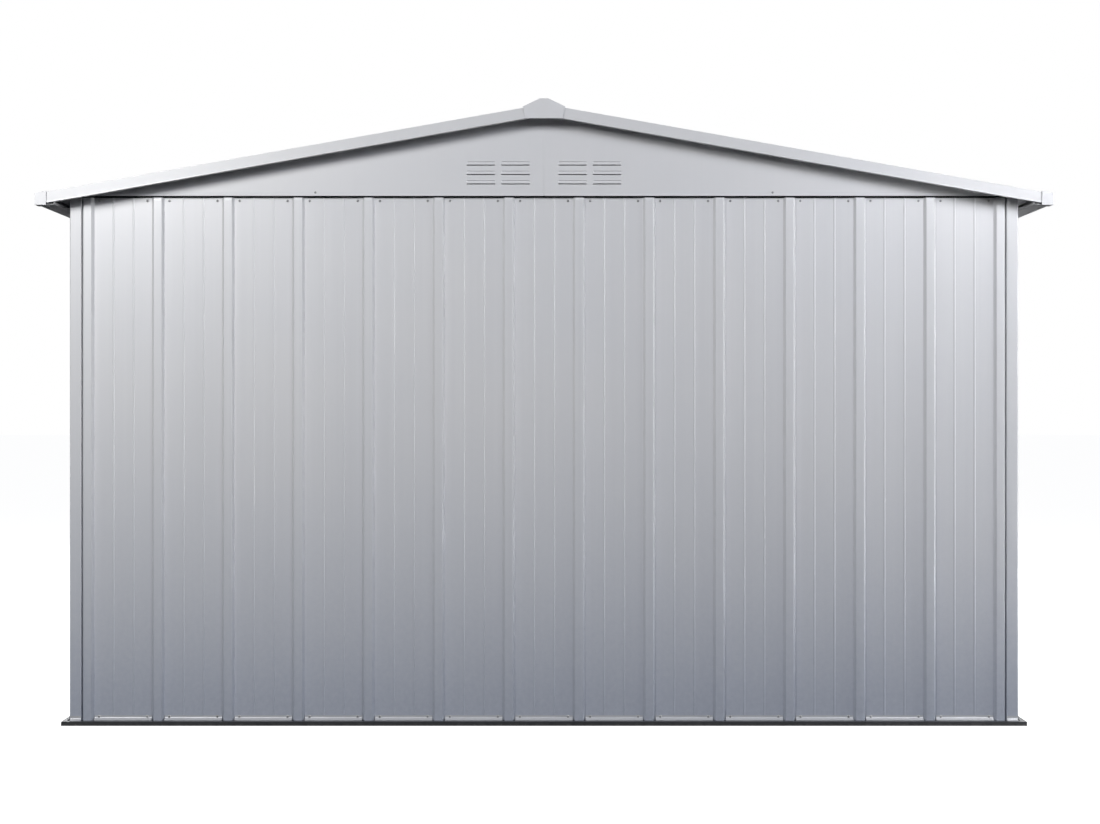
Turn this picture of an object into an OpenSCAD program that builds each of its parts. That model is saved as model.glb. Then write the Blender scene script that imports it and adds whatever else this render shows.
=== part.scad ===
/* [Walls] */
// Width of the gable walls, across the corner trims
wall_w = 3026; // [1800:1:4200]
// Depth of the side walls, across the corner trims
wall_d = 2354; // [1500:1:4200]
// Level of the top of the side walls
wall_top = 1682.5; // [1400:0.5:2300]
// Spacing that the wall ribs keep to as nearly as whole ribs allow
rib_pitch = 224; // [170:1:320]
// Width of a rib at its foot
rib_foot = 39; // [34:1:60]
// Width of a rib at its crown
rib_crown = 25; // [12:1:30]
// Height of a rib above the pan
rib_h = 12; // [8:1:20]
// Width of the two small beads in each pan
bead_w = 6; // [4:0.5:10]
// Height of the beads
bead_h = 2; // [1:0.5:4]
// Distance of each bead from the middle of its pan
bead_at = 32; // [12:1:45]
// Width of a corner trim on each wall
corner_w = 37; // [28:1:60]
// Thickness of the sheet metal
sheet_t = 0.8; // [0.5:0.1:1.5]

/* [Base] */
// Height of the ledge that the wall panels stand on
ledge_h = 13; // [8:1:30]
// Reach of the ledge beyond the walls
ledge_out = 20; // [10:1:40]
// Height of the upstand behind the wall panels
upstand_h = 60; // [40:1:90]
// Width of the flange that lies on the ground inside
ground_flange = 32; // [20:1:50]
// Height of the tabs that hold the foot of each pan
tab_h = 15; // [10:1:20]
// Height at which a tab turns outwards
tab_foot_h = 11; // [4:1:11]
// Reach of the sloping foot of a tab
tab_foot_out = 9; // [3:1:9]
// Room between a tab and the ribs beside it
tab_room = 1; // [0.5:0.5:4]
// Thickness of the dark strip round the edge of the base
edge_t = 1; // [0.8:0.1:3]

/* [Gables] */
// Height of the gap between the wall panels and the gable
gable_gap = 3.5; // [2:0.5:4]
// Height of the flared hem along the lower edge
hem_h = 9; // [4:1:14]
// Reach of the flared hem
hem_out = 3; // [1:0.5:6]
// Width of the flange folded in along the roof line
gable_flange = 20; // [10:1:30]
// Depth of the flange where the two halves meet
joint_flange = 15; // [8:1:25]
// Length of a louvre
louvre_w = 90; // [50:1:100]
// Height of a louvre's hood
louvre_h = 14; // [8:1:20]
// Reach of a louvre's hood
louvre_out = 6; // [3:0.5:12]
// Height of the plain lower edge of a louvre's hood
louvre_lip = 3; // [1:0.5:5]
// Distance between louvre rows
louvre_row = 30; // [22:1:40]
// Level of the lowest louvre above the lower edge of the gable
louvre_z = 45; // [30:1:60]
// Distance of the nearest louvre column from the middle of the gable
louvre_x = 91; // [65:1:110]
// Distance between the two louvre columns of a gable half
louvre_column = 110; // [102:1:130]

/* [Roof] */
// Slope of the roof in degrees
roof_pitch = 10; // [7:0.5:16]
// Reach of the roof beyond the side walls
eave_out = 92; // [80:1:140]
// Reach of the roof beyond the gable walls
gable_out = 60; // [30:1:120]
// Spacing that the roof ribs keep to as nearly as whole ribs allow
roof_rib_pitch = 220; // [170:1:320]
// Distance from the peak line to the top end of the roof panels
ridge_gap = 20; // [8:1:40]
// Height of the face of the barge trims
barge_h = 35; // [25:1:50]
// Width of the flange of the barge trims on the roof
barge_flange = 42; // [36:1:60]
// Height of the flared hem of the barge trims
barge_hem_h = 6; // [3:1:10]
// Reach of the flared hem of the barge trims
barge_hem_out = 1.2; // [0.5:0.1:1.4]
// Width of the return along the bottom of the barge trims
barge_return = 12; // [6:1:20]
// Height of the face of the eave trims
eave_h = 34; // [28:1:50]
// Width of the upper and lower flanges of the eave trims
eave_w = 58; // [40:1:62]
// Height of the upturned lip of the eave trims
eave_lip = 8; // [4:1:12]
// Room between the roof panels and the trims that they slide into
roof_room = 3; // [1:0.5:6]
// Flat strip outside the first and the last roof rib
roof_edge = 4; // [2:0.5:6]

/* [Ridge and end caps] */
// Width of the ridge end caps
ridge_w = 135; // [100:1:180]
// Width of the flat top of the ridge
ridge_flat = 27; // [16:1:40]
// Height of the flat top above the peak line
ridge_rise = 17; // [10:1:30]
// Level of the widest point of a ridge end cap below the peak line
ridge_skirt = 9; // [5:1:14]
// Width of the lower edge of a ridge end cap
ridge_cap_foot = 118; // [80:1:160]
// Level of the lower edge of a ridge end cap below the peak line
ridge_cap_drop = 46; // [40:1:60]
// Length of the end caps along the roof
cap_len = 40; // [20:1:60]
// Width of the eave end caps along the barge trims
cap_w = 36; // [25:1:50]
// Wall thickness of the end caps
cap_t = 2; // [1.5:0.5:3]
// Room between an end cap's front plate and the barge trims
cap_room = 1.5; // [1.5:0.1:3]

/* [Frame] */
// Thickness of the rails and beams inside
frame_t = 1.2; // [0.8:0.1:2]
// Depth of the inner leg of the top rails
rail_leg = 38; // [25:1:60]
// Reach of the side rails outside the wall
rail_out = 25; // [15:1:40]
// Height of the outer leg of the side rails
rail_outer_leg = 17; // [8:1:25]
// Width of the inner flange of the gable wall rails
rail_flange = 25; // [15:1:40]
// Width of the roof beams
beam_w = 36; // [25:1:60]
// Depth of the roof beams
beam_h = 50; // [30:1:80]
// Clearance where sheets would otherwise cut into each other
fit = 0.3; // [0.2:0.1:0.5]

/* [Hidden] */

// The four walls, numbered anticlockwise as seen from above
front = 0;
right = 1;
back = 2;
left = 3;

steel = [0.78, 0.79, 0.81];
trim_grey = [0.74, 0.75, 0.77];
galvanised = [0.7, 0.71, 0.72];
dark_edge = [0.16, 0.16, 0.17];
cap_grey = [0.72, 0.73, 0.74];

// Faces of the wall panels, measured outwards from the wall line
pan_out = -rib_h;
pan_in = -rib_h - sheet_t;
tab_back = pan_out + bead_h;

// Roof planes, measured square to the slope down from the top of the trims
panel_top = sheet_t;
panel_under = sheet_t + rib_h + sheet_t;
frame_top = panel_under + sheet_t;

peak_z = wall_top + sheet_t + (wall_w / 2 + rail_out) * tan(roof_pitch)
    + panel_under / cos(roof_pitch);
roof_x = wall_w / 2 + eave_out;
roof_y = wall_d / 2 + gable_out;
eave_x = roof_x - cap_t;
barge_y = roof_y - cap_t - cap_room;
eave_bottom = roof_z(eave_x, 0) - eave_h;

// The lower edge of the gables, and the rail behind it that reaches as high as their flanges let it
gable_bottom = wall_top + gable_gap;
gable_rail_top = roof_z(wall_w / 2 + pan_out, frame_top) - frame_t - fit;

far = 2 * (wall_w + wall_d + wall_top);

// Height of the plane that lies a given depth under the top of the roof trims
function roof_z(x, depth) = peak_z - abs(x) * tan(roof_pitch) - depth / cos(roof_pitch);

// Half the length of a wall and the distance of the wall line from the centre
function half(wall) = (wall % 2 == 0 ? wall_w : wall_d) / 2;
function reach(wall) = (wall % 2 == 0 ? wall_d : wall_w) / 2;

// Ribs on a wall and the spacing that fits them between the corner trims
function rib_span(wall) = 2 * (half(wall) - corner_w) - rib_foot;
function rib_count(wall) = round(rib_span(wall) / rib_pitch) + 1;
function rib_step(wall) = rib_span(wall) / (rib_count(wall) - 1);
function rib_x(wall, i) = -rib_span(wall) / 2 + i * rib_step(wall);

roof_rib_span = 2 * (barge_y - sheet_t - roof_room - roof_edge) - rib_foot;
roof_ribs = round(roof_rib_span / roof_rib_pitch) + 1;
roof_step = roof_rib_span / (roof_ribs - 1);
function roof_rib_y(i) = -roof_rib_span / 2 + i * roof_step;

// Direction square to a line from a to b, to its left
function left_of(a, b) = [a[1] - b[1], b[0] - a[0]] / norm(b - a);

// The point of the other face of a folded sheet that faces point i of its line
function other_face(line, i, t) =
    let (
        last = len(line) - 1,
        before = left_of(line[max(i, 1) - 1], line[max(i, 1)]),
        after = left_of(line[min(i, last - 1)], line[min(i, last - 1) + 1])
    )
    line[i] + (before + after) * t / (1 + before * after);

// Outline of a folded sheet whose thickness lies to the left of its line
function folded(line, t) =
    concat(line, [for (i = [len(line) - 1:-1:0]) other_face(line, i, t)]);

// A fold that rises from the floor level to a crown and comes down again
function rise(middle, foot, crown, floor_y, height) = [
    [middle - foot / 2, floor_y],
    [middle - crown / 2, floor_y + height],
    [middle + crown / 2, floor_y + height],
    [middle + foot / 2, floor_y]];

// The rib at a place and the two beads of the pan that follows it
function rib(middle, floor_y) = rise(middle, rib_foot, rib_crown, floor_y, rib_h);
function beads(middle, floor_y) = [for (side = [-1, 1])
    each rise(middle + side * bead_at, bead_w, bead_w / 2, floor_y, bead_h)];

// Line of a ribbed panel from start to end, with the ribs at the given places
function ribbed(start, end, places, step, floor_y) = concat(
    [[start, floor_y]],
    [for (i = [0:len(places) - 1]) each concat(
        abs(start - places[i] + rib_foot / 2) < fit && i == 0
            ? [for (j = [1:3]) rib(places[i], floor_y)[j]]
            : rib(places[i], floor_y),
        places[i] + step < end + rib_foot ? beads(places[i] + step / 2, floor_y) : [])],
    [[end, floor_y]]);

// Puts a child on a wall: its x runs along the wall and its y points outwards
module on_wall(wall) {
    rotate([0, 0, 90 * wall])
        translate([0, -reach(wall), 0])
            mirror([0, 1, 0])
                children();
}

// Puts a child on a slope of the roof: its x runs down the slope from the peak line
module on_slope(side) {
    mirror([side < 0 ? 1 : 0, 0, 0])
        translate([0, 0, peak_z])
            rotate([0, roof_pitch, 0])
                children();
}

// Puts a child at the front gable end or, turned round, at the back one
module at_end(end) {
    rotate([0, 0, end == back ? 180 : 0])
        children();
}

// Extrudes an outline drawn in x and z along y
module along_y(from, to) {
    translate([0, to, 0])
        rotate([90, 0, 0])
            linear_extrude(to - from)
                children();
}

// Extrudes an outline drawn in y and z along x
module along_x(from, to) {
    translate([from, 0, 0])
        rotate([90, 0, 90])
            linear_extrude(to - from)
                children();
}

// A strip that follows a wall, mitred at both corners
module strip(wall, inner, outer, from_z, to_z) {
    a = half(wall) + inner;
    b = half(wall) + outer;
    translate([0, 0, from_z])
        linear_extrude(to_z - from_z)
            polygon([[-a, inner], [a, inner], [b, outer], [-b, outer]]);
}

// A strip that follows a wall between square ends
module square_strip(half_length, inner, outer, from_z, to_z) {
    translate([-half_length, inner, from_z])
        cube([2 * half_length, outer - inner, to_z - from_z]);
}

module base_tab(middle, width) {
    line = [
        [tab_back, ledge_h + tab_h],
        [tab_back, ledge_h + tab_foot_h],
        [tab_back + tab_foot_out, ledge_h - sheet_t / 2]];
    along_x(middle - width / 2, middle + width / 2)
        polygon(folded(line, sheet_t));
}

module base_rail(wall) {
    color(galvanised)
        on_wall(wall)
            union() {
                strip(wall, pan_in - sheet_t, pan_in, 0, upstand_h);
                strip(wall, pan_in - ground_flange, pan_in, 0, sheet_t);
                strip(wall, pan_in - sheet_t, ledge_out, ledge_h - sheet_t, ledge_h);
                strip(wall, ledge_out - sheet_t, ledge_out, 0, ledge_h);
                for (i = [0:rib_count(wall) - 2])
                    base_tab(rib_x(wall, i) + rib_step(wall) / 2,
                        rib_step(wall) - rib_foot - 2 * tab_room);
            }
}

module base_edge(wall) {
    color(dark_edge)
        on_wall(wall)
            strip(wall, ledge_out, ledge_out + edge_t, 0, ledge_h);
}

// A wall panel with the ribs from first to last, up to the foot of the next rib or the corner
module wall_panel(wall, first, last) {
    end = half(wall) + (wall % 2 == 0 ? pan_out : pan_in);
    start_x = first == 0 ? -end : rib_x(wall, first) - rib_foot / 2;
    end_x = last == rib_count(wall) - 1 ? end : rib_x(wall, last + 1) - rib_foot / 2;
    places = [for (i = [first:last]) rib_x(wall, i)];
    color(steel)
        on_wall(wall)
            translate([0, 0, ledge_h])
                linear_extrude(wall_top - ledge_h)
                    polygon(folded(ribbed(start_x, end_x, places, rib_step(wall), pan_out), -sheet_t));
}

// The joints of a gable wall lie three ribs apart and those of a side wall in its middle
function gable_joint(wall) = floor((rib_count(wall) - 3) / 2);
function side_joint(wall) = floor(rib_count(wall) / 2);

module gable_wall_first(wall) {
    wall_panel(wall, 0, gable_joint(wall) - 1);
}

module gable_wall_middle(wall) {
    wall_panel(wall, gable_joint(wall), gable_joint(wall) + 2);
}

module gable_wall_last(wall) {
    wall_panel(wall, gable_joint(wall) + 3, rib_count(wall) - 1);
}

module side_wall_first(wall) {
    wall_panel(wall, 0, side_joint(wall) - 1);
}

module side_wall_last(wall) {
    wall_panel(wall, side_joint(wall), rib_count(wall) - 1);
}

// A corner trim wraps the corner and returns to the pans on both walls
module corner_trim(side, end) {
    line = [
        [pan_out, -corner_w],
        [0, -corner_w],
        [0, 0],
        [-corner_w, 0],
        [-corner_w, pan_out]];
    color(trim_grey)
        mirror([side < 0 ? 1 : 0, 0, 0])
            mirror([0, end == front ? 1 : 0, 0])
                translate([wall_w / 2, wall_d / 2, ledge_h])
                    linear_extrude(wall_top - ledge_h)
                        polygon(folded(line, sheet_t));
}

// Outline of a louvre's hood in y and z, set in by a given distance
function hood(inset) = [
    [-inset, louvre_h / 2 - 2 * inset],
    [louvre_out - inset, -louvre_h / 2 + louvre_lip + (louvre_out - louvre_lip) / 2],
    [louvre_out - inset, -louvre_h / 2 - inset],
    [-inset, -louvre_h / 2 - inset]];

module louvre_hood() {
    difference() {
        along_x(-louvre_w / 2, louvre_w / 2)
            polygon(hood(0));
        along_x(-louvre_w / 2 + sheet_t, louvre_w / 2 - sheet_t)
            polygon(hood(sheet_t));
    }
}

module at_louvres() {
    for (column = [0, 1])
        for (row = [0:2])
            translate([louvre_x + column * louvre_column, 0, gable_bottom + louvre_z + row * louvre_row])
                children();
}

// One half of a gable, drawn on the side of positive x
module gable_half() {
    line = [
        [0, peak_z],
        [0, gable_bottom + hem_h],
        [hem_out, gable_bottom]];
    union() {
        difference() {
            intersection() {
                along_x(0, wall_w / 2)
                    polygon(folded(line, sheet_t));
                along_y(-gable_flange, hem_out + 1)
                    polygon([
                        [0, gable_bottom],
                        [wall_w / 2, gable_bottom],
                        [wall_w / 2, roof_z(wall_w / 2, panel_under)],
                        [0, roof_z(0, panel_under)]]);
            }
            at_louvres()
                translate([-louvre_w / 2 + sheet_t, -1, -louvre_h / 2])
                    cube([louvre_w - 2 * sheet_t, 2, louvre_h - 2 * sheet_t]);
        }
        at_louvres()
            louvre_hood();
        along_y(-gable_flange, sheet_t)
            polygon([
                [0, roof_z(0, panel_under)],
                [wall_w / 2, roof_z(wall_w / 2, panel_under)],
                [wall_w / 2, roof_z(wall_w / 2, frame_top)],
                [0, roof_z(0, frame_top)]]);
        translate([0, -joint_flange, gable_rail_top + frame_t + fit])
            cube([sheet_t, joint_flange + sheet_t,
                roof_z(0, frame_top) - beam_h - gable_rail_top - frame_t - 2 * fit]);
    }
}

module gable(side, end) {
    color(steel)
        on_wall(end)
            mirror([(side < 0) == (end == front) ? 1 : 0, 0, 0])
                gable_half();
}

// A roof panel with the ribs from first to last
module roof_panel(side, first, last) {
    edge = barge_y - sheet_t - roof_room;
    start_y = first == 0 ? -edge : roof_rib_y(first) - rib_foot / 2;
    end_y = last == roof_ribs - 1 ? edge : roof_rib_y(last + 1) - rib_foot / 2;
    places = [for (i = [first:last]) roof_rib_y(i)];
    length = (eave_x - sheet_t - roof_room) / cos(roof_pitch) - ridge_gap;
    color(steel)
        on_slope(side)
            along_x(ridge_gap, ridge_gap + length)
                polygon(folded(
                    ribbed(start_y, end_y, places, roof_step, -panel_top - rib_h), -sheet_t));
}

// Roof panels meet at these ribs
roof_joint_a = round(roof_ribs / 3);
roof_joint_b = round(roof_ribs * 2 / 3);

module roof_panel_front(side) {
    roof_panel(side, 0, roof_joint_a - 1);
}

module roof_panel_middle(side) {
    roof_panel(side, roof_joint_a, roof_joint_b - 1);
}

module roof_panel_rear(side) {
    roof_panel(side, roof_joint_b, roof_ribs - 1);
}

// A barge trim runs from the peak to the eave over the ends of the roof ribs
module barge(side, end) {
    line = [
        [-barge_y + barge_flange, 0],
        [-barge_y, 0],
        [-barge_y, -barge_h + barge_hem_h],
        [-barge_y - barge_hem_out, -barge_h]];
    color(trim_grey)
        at_end(end)
            mirror([(side < 0) == (end == front) ? 1 : 0, 0, 0])
                difference() {
                    translate([0, 0, peak_z])
                        rotate([0, roof_pitch, 0])
                            along_x(-barge_h, roof_x + barge_h)
                                union() {
                                    polygon(folded(line, sheet_t));
                                    translate([-barge_y - barge_hem_out, -barge_h])
                                        square([barge_return, sheet_t]);
                                }
                    translate([-far, -far / 2, 0])
                        cube([far, far, far]);
                    translate([eave_x, -far / 2, 0])
                        cube([far, far, far]);
                    translate([0, -far / 2, eave_bottom - far])
                        cube([far, far, far]);
                    translate([eave_x - eave_w - fit, -barge_y + sheet_t, 0])
                        cube([far, far, far]);
                }
}

// An eave trim is a channel round the lower ends of the roof panels
module eave_trim(side) {
    line = [
        [eave_x - eave_w, roof_z(eave_x - eave_w, 0)],
        [eave_x, roof_z(eave_x, 0)],
        [eave_x, eave_bottom],
        [eave_x - eave_w, eave_bottom],
        [eave_x - eave_w, eave_bottom + eave_lip]];
    color(trim_grey)
        mirror([side < 0 ? 1 : 0, 0, 0])
            along_y(-barge_y + sheet_t, barge_y - sheet_t)
                polygon(folded(line, -sheet_t));
}

// Line of the sloping top of a ridge end cap
ridge_rim = [
    [-ridge_w / 2, peak_z - ridge_skirt],
    [-ridge_flat / 2, peak_z + ridge_rise],
    [ridge_flat / 2, peak_z + ridge_rise],
    [ridge_w / 2, peak_z - ridge_skirt]];

// The ridge cap lies inside the end caps and its edges reach down to the trims
module ridge_cap() {
    half_w = ridge_w / 2 - cap_t;
    skirt_z = roof_z(half_w - sheet_t, 0);
    inside = [for (i = [0:3]) other_face(ridge_rim, i, -cap_t)];
    slope = (inside[1][1] - inside[0][1]) / (inside[1][0] - inside[0][0]);
    shoulder_z = inside[1][1] - slope * (half_w + inside[1][0]);
    line = [
        [-half_w, skirt_z],
        [-half_w, shoulder_z],
        inside[1],
        inside[2],
        [half_w, shoulder_z],
        [half_w, skirt_z]];
    color(trim_grey)
        along_y(-barge_y - cap_room, barge_y + cap_room)
            polygon(folded(line, -sheet_t));
}

// A ridge end cap is a front plate with a rim over the end of the ridge cap
module ridge_end_cap() {
    foot = [
        [ridge_cap_foot / 2, peak_z - ridge_cap_drop],
        [-ridge_cap_foot / 2, peak_z - ridge_cap_drop]];
    union() {
        along_y(-roof_y, -roof_y + cap_t)
            polygon(concat(ridge_rim, foot));
        along_y(-roof_y, -roof_y + cap_len)
            polygon(folded(ridge_rim, -cap_t));
    }
}

module ridge_end_caps() {
    color(cap_grey)
        for (end = [front, back])
            at_end(end)
                ridge_end_cap();
}

// An eave end cap closes the corner of the barge trim and the eave trim
module eave_end_cap() {
    inner_x = roof_x - cap_w;
    rim = [
        [inner_x, roof_z(inner_x, -cap_t)],
        [roof_x, roof_z(roof_x, -cap_t)],
        [roof_x, eave_bottom - cap_t],
        [inner_x, eave_bottom - cap_t]];
    union() {
        along_y(-roof_y, -roof_y + cap_t)
            polygon(rim);
        along_y(-roof_y, -roof_y + cap_len)
            polygon(folded(rim, -cap_t));
    }
}

module eave_end_caps() {
    color(cap_grey)
        for (side = [0, 1])
            for (end = [0, 1])
                mirror([side, 0, 0])
                    mirror([0, end, 0])
                        eave_end_cap();
}

// The rail inside the top of a gable wall holds its panels and carries the gable
module gable_wall_rail(wall) {
    color(galvanised)
        on_wall(wall)
            union() {
                strip(wall, pan_in - frame_t, pan_in, gable_rail_top - rail_leg, gable_rail_top);
                square_strip(half(wall) + pan_in - frame_t, pan_in - rail_flange, 0,
                    gable_rail_top, gable_rail_top + frame_t);
            }
}

// The rail on top of a side wall reaches out under the eave
module side_wall_rail(wall) {
    color(galvanised)
        on_wall(wall)
            union() {
                strip(wall, pan_in - frame_t, pan_in, wall_top - rail_leg, wall_top);
                square_strip(half(wall) + pan_in - frame_t, pan_in - frame_t, 0,
                    wall_top, wall_top + sheet_t);
                square_strip(half(wall), 0, rail_out,
                    wall_top, wall_top + sheet_t);
                square_strip(half(wall), rail_out - sheet_t, rail_out,
                    wall_top - rail_outer_leg, wall_top + sheet_t);
            }
}

// A beam of folded sheet under the roof, open at the bottom
module purlin(side) {
    middle = wall_w / 4;
    line = [
        [middle - beam_w / 2, -frame_top - beam_h],
        [middle - beam_w / 2, -frame_top],
        [middle + beam_w / 2, -frame_top],
        [middle + beam_w / 2, -frame_top - beam_h]];
    on_slope(side)
        along_y(-wall_d / 2, wall_d / 2)
            polygon(folded(line, -frame_t));
}

module ridge_beam() {
    line = [
        [-beam_w / 2, roof_z(0, frame_top) - beam_h],
        [-beam_w / 2, roof_z(beam_w / 2, frame_top)],
        [0, roof_z(0, frame_top)],
        [beam_w / 2, roof_z(beam_w / 2, frame_top)],
        [beam_w / 2, roof_z(0, frame_top) - beam_h]];
    along_y(-wall_d / 2, wall_d / 2)
        polygon(folded(line, -frame_t));
}

module roof_beams() {
    color(galvanised) {
        ridge_beam();
        purlin(-1);
        purlin(1);
    }
}

base_rail(front);  // base_rail_front
base_rail(back);  // base_rail_back
base_rail(left);  // base_rail_left
base_rail(right);  // base_rail_right
base_edge(front);  // base_edge_front
base_edge(back);  // base_edge_back
base_edge(left);  // base_edge_left
base_edge(right);  // base_edge_right
gable_wall_first(front);  // front_wall_left
gable_wall_middle(front);  // front_wall_middle
gable_wall_last(front);  // front_wall_right
gable_wall_first(back);  // back_wall_right
gable_wall_middle(back);  // back_wall_middle
gable_wall_last(back);  // back_wall_left
side_wall_first(right);  // right_wall_front
side_wall_last(right);  // right_wall_rear
side_wall_first(left);  // left_wall_rear
side_wall_last(left);  // left_wall_front
corner_trim(-1, front);  // corner_trim_front_left
corner_trim(1, front);  // corner_trim_front_right
corner_trim(-1, back);  // corner_trim_back_left
corner_trim(1, back);  // corner_trim_back_right
gable(-1, front);  // front_gable_left
gable(1, front);  // front_gable_right
gable(-1, back);  // back_gable_left
gable(1, back);  // back_gable_right
roof_panel_front(-1);  // roof_left_front
roof_panel_middle(-1);  // roof_left_middle
roof_panel_rear(-1);  // roof_left_rear
roof_panel_front(1);  // roof_right_front
roof_panel_middle(1);  // roof_right_middle
roof_panel_rear(1);  // roof_right_rear
ridge_cap();
ridge_end_caps();
barge(-1, front);  // barge_front_left
barge(1, front);  // barge_front_right
barge(-1, back);  // barge_back_left
barge(1, back);  // barge_back_right
eave_trim(-1);  // eave_trim_left
eave_trim(1);  // eave_trim_right
eave_end_caps();
gable_wall_rail(front);  // top_rail_front
gable_wall_rail(back);  // top_rail_back
side_wall_rail(left);  // top_rail_left
side_wall_rail(right);  // top_rail_right
roof_beams();
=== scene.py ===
import math
import random

import bmesh
import bpy
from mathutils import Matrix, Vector, noise


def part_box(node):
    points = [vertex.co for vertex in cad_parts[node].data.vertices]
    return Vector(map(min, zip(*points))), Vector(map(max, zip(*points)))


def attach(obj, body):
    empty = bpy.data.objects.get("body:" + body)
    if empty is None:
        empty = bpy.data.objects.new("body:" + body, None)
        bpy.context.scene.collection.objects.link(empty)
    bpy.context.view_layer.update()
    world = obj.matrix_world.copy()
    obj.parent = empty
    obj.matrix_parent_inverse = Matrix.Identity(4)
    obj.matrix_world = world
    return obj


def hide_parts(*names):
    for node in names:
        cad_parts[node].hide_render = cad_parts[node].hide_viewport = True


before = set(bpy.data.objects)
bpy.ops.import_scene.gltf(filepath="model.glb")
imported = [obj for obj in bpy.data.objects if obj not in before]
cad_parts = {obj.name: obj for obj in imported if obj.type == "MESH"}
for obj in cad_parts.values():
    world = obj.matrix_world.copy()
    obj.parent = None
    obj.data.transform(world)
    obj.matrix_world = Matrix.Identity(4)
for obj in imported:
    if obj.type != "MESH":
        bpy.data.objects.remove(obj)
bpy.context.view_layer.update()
print("frame loaded:", len(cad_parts), "nodes")

# Sizes read from the frame, in metres
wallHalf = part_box("corner_trim_front_right")[1].x
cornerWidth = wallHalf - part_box("corner_trim_front_right")[0].x
depthHalf = -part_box("corner_trim_front_right")[0].y
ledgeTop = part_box("front_wall_middle")[0].z
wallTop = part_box("front_wall_middle")[1].z
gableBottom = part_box("front_gable_left")[0].z
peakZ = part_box("barge_front_left")[1].z
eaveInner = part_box("eave_trim_right")[0].x
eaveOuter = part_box("eave_trim_right")[1].x
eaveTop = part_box("eave_trim_right")[1].z
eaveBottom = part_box("eave_trim_right")[0].z
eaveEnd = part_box("eave_trim_right")[1].y
roofPitch = math.atan((peakZ - eaveTop) / eaveInner)
sheetThickness = 0.0008
edgeGap = 0.0003
weldDistance = 0.00002

# The four walls, numbered anticlockwise as seen from above
wallNames = ["front", "right", "back", "left"]


def roofHeight(x, depth=0.0):
    return peakZ - abs(x) * math.tan(roofPitch) - depth / math.cos(roofPitch)


# Materials

def setInputs(node, values):
    for name, value in values.items():
        node.inputs[name].default_value = value


def newGroup(name, inputs, outputs):
    group = bpy.data.node_groups.new(name, "ShaderNodeTree")
    for label, kind, value in inputs:
        socket = group.interface.new_socket(name=label, in_out="INPUT", socket_type=kind)
        socket.default_value = value
    for label, kind in outputs:
        group.interface.new_socket(name=label, in_out="OUTPUT", socket_type=kind)
    return group, group.nodes.new("NodeGroupInput"), group.nodes.new("NodeGroupOutput")


def addMath(tree, operation, first, second=0.0, clamp=False):
    node = tree.nodes.new("ShaderNodeMath")
    node.operation = operation
    node.use_clamp = clamp
    for index, value in enumerate((first, second)):
        if isinstance(value, bpy.types.NodeSocket):
            tree.links.new(value, node.inputs[index])
        else:
            node.inputs[index].default_value = value
    return node.outputs[0]


def addShifted(tree, value, gain, shift, clamp=False):
    result = addMath(tree, "MULTIPLY_ADD", value, gain, clamp)
    result.node.inputs[2].default_value = shift
    return result


def addNoise(tree, vector, scale, detail=3.0, roughness=0.5, stretch=None):
    if stretch:
        mapping = tree.nodes.new("ShaderNodeMapping")
        mapping.inputs["Scale"].default_value = stretch
        tree.links.new(vector, mapping.inputs["Vector"])
        vector = mapping.outputs[0]
    node = tree.nodes.new("ShaderNodeTexNoise")
    node.inputs["Detail"].default_value = detail
    node.inputs["Roughness"].default_value = roughness
    tree.links.new(vector, node.inputs["Vector"])
    if isinstance(scale, bpy.types.NodeSocket):
        tree.links.new(scale, node.inputs["Scale"])
    else:
        node.inputs["Scale"].default_value = scale
    return node.outputs["Fac"]


def addMix(tree, factor, first, second):
    node = tree.nodes.new("ShaderNodeMix")
    node.data_type = "RGBA"
    pairs = ((node.inputs["Factor"], factor), (node.inputs[6], first), (node.inputs[7], second))
    for socket, value in pairs:
        if isinstance(value, bpy.types.NodeSocket):
            tree.links.new(value, socket)
        else:
            socket.default_value = value
    return node.outputs[2]


def makeToneGroup():
    # Slow shifts of tone and tint across a coated sheet, and faint streaks along its rolling direction
    group, inside, outside = newGroup("coatTone", [
        ("Color", "NodeSocketColor", (0.8, 0.8, 0.8, 1)),
        ("Tint", "NodeSocketColor", (0.78, 0.79, 0.82, 1)),
        ("Cloud Scale", "NodeSocketFloat", 3.0),
        ("Streak Scale", "NodeSocketFloat", 90.0),
        ("Streak Depth", "NodeSocketFloat", 0.05),
    ], [("Color", "NodeSocketColor"), ("Streaks", "NodeSocketFloat")])
    place = group.nodes.new("ShaderNodeTexCoord").outputs["Object"]
    cloud = addNoise(group, place, inside.outputs["Cloud Scale"], detail=4.0, roughness=0.55)
    spread = addShifted(group, cloud, gain=2.4, shift=-0.7, clamp=True)
    streaks = addNoise(
        group, place, inside.outputs["Streak Scale"], detail=5.0, roughness=0.65, stretch=(1, 1, 0.012))
    shade = addMath(group, "SUBTRACT", streaks, 0.5)
    shade = addMath(group, "MULTIPLY", shade, inside.outputs["Streak Depth"])
    shade = addMath(group, "ADD", shade, 1.0)
    tinted = addMix(group, spread, inside.outputs["Color"], inside.outputs["Tint"])
    scaled = group.nodes.new("ShaderNodeVectorMath")
    scaled.operation = "SCALE"
    group.links.new(tinted, scaled.inputs[0])
    group.links.new(shade, scaled.inputs["Scale"])
    group.links.new(scaled.outputs[0], outside.inputs["Color"])
    group.links.new(streaks, outside.inputs["Streaks"])
    return group


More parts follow.
